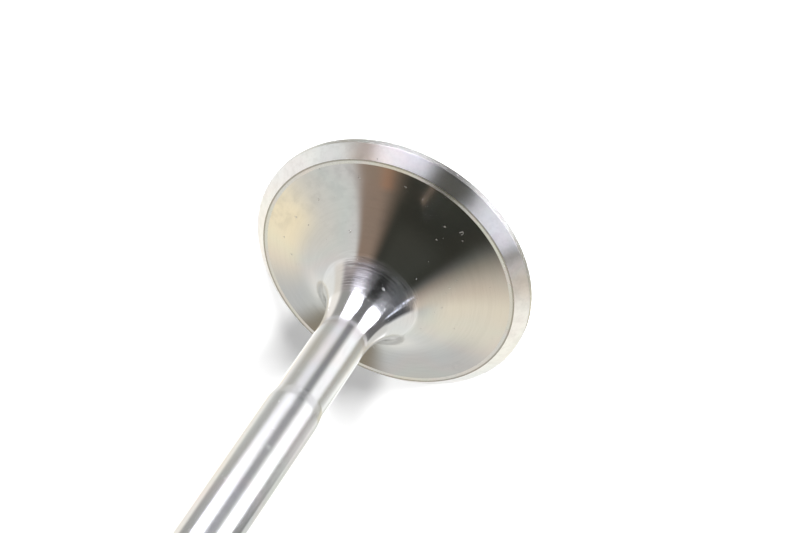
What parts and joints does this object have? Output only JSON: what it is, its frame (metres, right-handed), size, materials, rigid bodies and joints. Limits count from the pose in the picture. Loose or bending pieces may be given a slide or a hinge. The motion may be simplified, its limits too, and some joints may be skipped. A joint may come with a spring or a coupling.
{
  "type": "engine valve",
  "caption": "Poppet valve with a ground seat on its round head, a long neck sweep, a relieved waist, a plain stem and a keeper groove near the tip.",
  "frame": {"origin": "centre of the flat combustion face, on which the valve stands", "axes": "+Z along the stem, from the head towards the tip; X and Y are free, because the part is round"},
  "size_m": [0.037, 0.037, 0.105],
  "materials": {
    "valve_steel": "turned and ground bright steel"
  },
  "bodies": {
    "root": {"valve": "valve_steel"}
  },
  "joints": []
}
